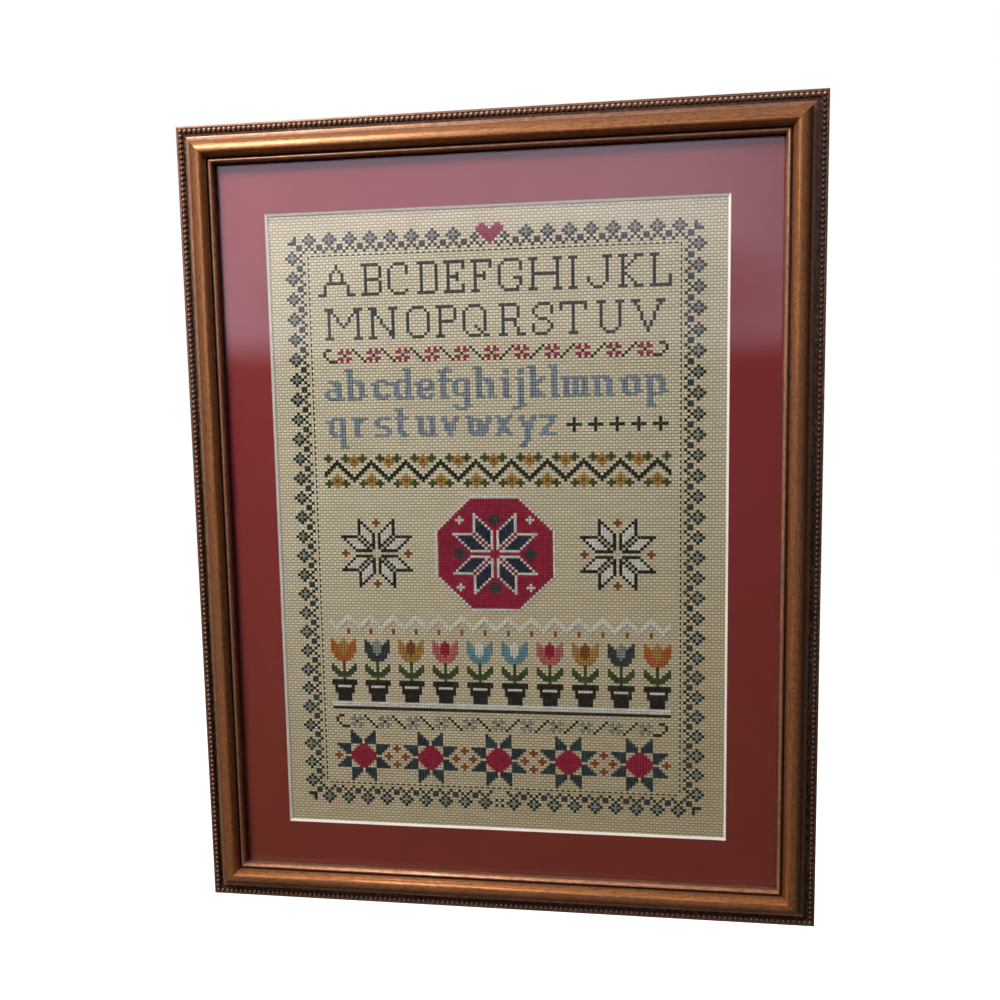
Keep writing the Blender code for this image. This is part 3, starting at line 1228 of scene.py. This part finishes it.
# Some skeins change their tone along the thread
shaded = {
    "mistBlue": (0.46, 0.43, 0.57),
    "slateBlue": (0.060, 0.055, 0.080),
    "paleBlue": (0.29, 0.37, 0.33),
    "lilacGrey": (0.36, 0.42, 0.40),
    "teal": (0.022, 0.040, 0.075),
    "darkGreen": (0.022, 0.030, 0.012),
}
strand = {
    "halfWidth": 0.47,
    "height": 0.36,
    "sunk": 0.28,
    "lowerCrown": 0.20,
    "upperCrown": 0.46,
    "stations": 4,
    "unevenness": 0.05,
    "widthSpread": 0.08,
    "archPower": 0.6,
    "endWidth": 0.55,
    "roughness": 0.6,
    "shadeShares": {"Hole": 0.85, "SideX": 0.45, "SideZ": 0.75},
    "paleShadeDepth": 0.5,
    "wear": ((1.0, 1.0, 1.0), 420.0, 2.0, 0.35, 0.7),
    "drift": ((1.0, 1.0, 1.0), 150.0, 1.0, 0.42, 0.58),
    "plies": 2.0,
    "twist": 0.45,
}


def threadMaterial(name):
    material, nodes, shader = startMaterial("floss_" + name, {
        "Roughness": strand["roughness"], "Specular IOR Level": 0.25,
    })
    base = threads[name]
    spot = nodes.place()
    wear, drift = [mottleMask(nodes, spot, *strand[mask]) for mask in ("wear", "drift")]
    tone = nodes.mix(nodes.times(drift, 0.8), base, shaded.get(name, base))
    tone = nodes.mix(nodes.times(wear, 0.5), tone, [channel * 1.35 + 0.003 for channel in base])
    # Painted shade darkens the thread at the holes and along the sides of each cell, less on white threads
    depth = strand["paleShadeDepth"] if min(base) > 0.8 else 1.0
    shares = {mask: share * depth for mask, share in strand["shadeShares"].items()}
    dark = darkest(nodes, weaveMasks(nodes, spot), shares)
    twisted = nodes.add("ShaderNodeGroup", {
        "Place": nodes.add("ShaderNodeUVMap", uv_map="alongStrand").outputs[0],
        "Colour": nodes.mix(dark, tone, [channel * 0.12 for channel in base]),
        "Plies": strand["plies"], "Twist": strand["twist"],
    }, node_tree=floss).outputs
    dress(nodes, shader, twisted["Colour"], twisted["Height"], 0.5, 0.12 * mm)
    return material


class StitchMesh:
    # Collects strands, each a low arch of thread from hole to hole
    def __init__(self, front, seed):
        self.front = front
        self.dice = random.Random(seed)
        self.points = []
        self.faces = []
        self.places = []

    def strand(self, start, end, crown, halfWidth=None):
        dice, uneven, spread = self.dice, strand["unevenness"], strand["widthSpread"]
        start, end = [Vector(tip) + Vector((dice.uniform(-uneven, uneven), dice.uniform(-uneven, uneven)))
                      for tip in (start, end)]
        length = (end - start).length
        way = (end - start).normalized()
        width = (halfWidth or strand["halfWidth"]) * dice.uniform(1.0 - spread, 1.0 + spread)
        crown = crown + dice.uniform(-uneven, uneven) * 0.6
        first = len(self.points)
        stations = strand["stations"]
        for station in range(stations + 1):
            share = station / stations
            arch = math.sin(math.pi * share) ** strand["archPower"]
            wide = width * (strand["endWidth"] + (1 - strand["endWidth"]) * arch)
            sideways = Vector((-way.y, way.x)) * wide
            top = (strand["sunk"] + crown) * arch - strand["sunk"] + strand["height"] / 4
            low = top - strand["height"]
            for aside, up in ((-1, low), (0, top), (1, low)):
                point = start + (end - start) * share + sideways * aside
                self.points.append((point.x * mm, self.front - up * mm, point.y * mm))
        for station in range(stations):
            base = first + station * 3
            here, there = [step / stations * length for step in (station, station + 1)]
            for corner in range(3):
                after = (corner + 1) % 3
                self.faces.append((base + corner, base + after, base + 3 + after, base + 3 + corner))
                left, right = corner / 2, after / 2
                self.places += [(left, here), (right, here), (right, there), (left, there)]
        last = first + stations * 3
        for cap in ((first, first + 2, first + 1), (last, last + 1, last + 2)):
            self.faces.append(cap)
            self.places += [(0.0, 0.0), (0.5, 0.0), (1.0, 0.0)]

    def cross(self, column, row):
        x, z = cellPlace(column, row)
        right, up = chart["cellWidth"] / 2, chart["cellHeight"] / 2
        self.strand((x + right, z - up), (x - right, z + up), strand["lowerCrown"])
        self.strand((x - right, z - up), (x + right, z + up), strand["upperCrown"])

    def mesh(self, name):
        mesh = bpy.data.meshes.new(name)
        mesh.from_pydata(self.points, [], self.faces)
        layer = mesh.uv_layers.new(name="alongStrand")
        layer.data.foreach_set("uv", [number for pair in self.places for number in pair])
        mesh.shade_smooth()
        return mesh


# The running stitch between the border and the letters
runningStitch = {"reach": 0.56, "crown": 0.26, "halfWidth": 0.46, "inset": 7.5, "aside": 0.5}


def addStitches():
    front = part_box("embroidered_cloth")[0][1]
    pieces = []
    for index, name in enumerate(threads):
        stitches = StitchMesh(front, 100 + index)
        for cell in sorted(cell for cell, thread in cells.items() if thread == name):
            stitches.cross(*cell)
        pieces.append(finishPiece(stitches.mesh("stitches_" + name), None, "linen", threadMaterial(name)))
    running = StitchMesh(front, 99)
    half = chart["cellWidth"] * runningStitch["reach"]
    inset, aside = runningStitch["inset"], runningStitch["aside"]
    shape = runningStitch["crown"], runningStitch["halfWidth"]
    for row in (inset, lastRow - inset):
        for column in range(1, 2 * middle, 2):
            x, z = cellPlace(column, row)
            running.strand((x - half, z), (x + half, z), *shape)
    for column in (-aside, 2 * middle + aside):
        for row in range(8, lastRow - 7, 2):
            x, z = cellPlace(column, row)
            running.strand((x, z - half), (x, z + half), *shape)
    mesh = running.mesh("running_stitches")
    pieces.append(finishPiece(mesh, None, "linen", threadMaterial("charcoal")))
    return pieces


stitchPieces = addStitches()
print("stitches made:", len(stitchPieces), "pieces")


# The stage: a pale floor far below, a white surround and soft lights
stage = {
    "floorDrop": 0.9,
    "floorSize": 12.0,
    "floorTone": (0.93, 0.93, 0.92),
    "floorGlow": 0.9,
    "dim": (0.030, 0.026, 0.024),
    "sky": (0.56, 0.52, 0.48),
    "glow": (1.70, 1.50, 1.80),
    "skyEdge": (0.30, 0.75),
    "skySide": (0.45, -0.35),
    "skyLeast": 0.10,
    "glowBottom": (0.03, 0.08),
    "glowTop": (0.42, 0.27),
    "glowLeft": (-0.75, -0.50),
    "glowRight": (0.40, 0.00),
    "dimPatch": {"middle": (-0.10, 0.100), "reach": (0.24, 0.075), "edge": (0.5, 1.4), "share": 0.68},
}
lamps = {
    "key": {"place": (-0.43, -0.60, 0.52), "aim": (0.1, 0.0, -0.90), "size": 0.32, "power": 5.75,
            "tone": (1.0, 0.94, 0.86)},
    "back_fill": {"place": (0.9, 1.5, 0.7), "aim": (0.0, 0.0, -0.25), "size": 1.2, "power": 36.0,
                  "tone": (1.0, 0.98, 0.95)},
}


def addFloor():
    mesh = bpy.data.meshes.new("floor")
    shape = bmesh.new()
    bmesh.ops.create_grid(shape, x_segments=1, y_segments=1, size=stage["floorSize"] / 2)
    shape.to_mesh(mesh)
    shape.free()
    floor = bpy.data.objects.new("floor", mesh)
    sceneItems.link(floor)
    floor.location = (0, 0, frameLow.z - stage["floorDrop"])
    floor.visible_diffuse = False
    floor.visible_glossy = False
    floor.visible_transmission = False
    material, nodes, shader = startMaterial("pale_floor", {
        "Base Color": stage["floorTone"], "Roughness": 0.9,
        "Emission Color": (1.0, 1.0, 1.0), "Emission Strength": stage["floorGlow"],
    })
    mesh.materials.append(material)


def addWorld():
    world = bpy.data.worlds.new("white_studio")
    bpy.context.scene.world = world
    world.use_nodes = True
    nodes = Nodes(world.node_tree)
    way = nodes.split(nodes.add("ShaderNodeTexCoord").outputs["Generated"])
    share = nodes.between(way["Y"], 0.0, -0.3)
    for axis, edge in (("Z", "glowBottom"), ("Z", "glowTop"), ("X", "glowLeft"), ("X", "glowRight")):
        fade = nodes.add("ShaderNodeMapRange", {
            "Value": way[axis], "From Min": stage[edge][0], "From Max": stage[edge][1],
        }, interpolation_type="SMOOTHSTEP").outputs[0]
        share = nodes.times(share, fade)
    # The glow has a soft, dimmer patch in its middle
    patch = stage["dimPatch"]
    square = 0.0
    for axis, centre, reach in zip("XZ", patch["middle"], patch["reach"]):
        off = nodes.over(nodes.minus(way[axis], centre), reach)
        square = nodes.plus(nodes.times(off, off), square)
    share = nodes.times(share, nodes.between(square, *patch["edge"], 1.0 - patch["share"], 1.0))
    # The sky is bright above and to the left
    bright = nodes.times(nodes.between(way["Z"], *stage["skyEdge"]),
                         nodes.between(way["X"], *stage["skySide"], stage["skyLeast"], 1.0))
    tone = nodes.mix(share, nodes.mix(bright, stage["dim"], stage["sky"]), stage["glow"])
    cameraRay = nodes.add("ShaderNodeLightPath").outputs["Is Camera Ray"]
    tone = nodes.mix(cameraRay, tone, (1.0, 1.0, 1.0))
    nodes.feed(world.node_tree.nodes["Background"].inputs["Color"], tone)


def addLamps():
    for name, lamp in lamps.items():
        data = bpy.data.lights.new(name, "AREA")
        data.shape = "SQUARE"
        data.size = lamp["size"]
        data.energy = lamp["power"]
        data.color = lamp["tone"]
        light = bpy.data.objects.new(name, data)
        sceneItems.link(light)
        way = Vector(lamp["aim"]) - Vector(lamp["place"])
        light.location = lamp["place"]
        light.rotation_euler = way.to_track_quat("-Z", "Y").to_euler()
        light.visible_camera = False


addFloor()
addWorld()
addLamps()
bpy.context.scene.view_settings.view_transform = "Standard"
print("stage and lights set")
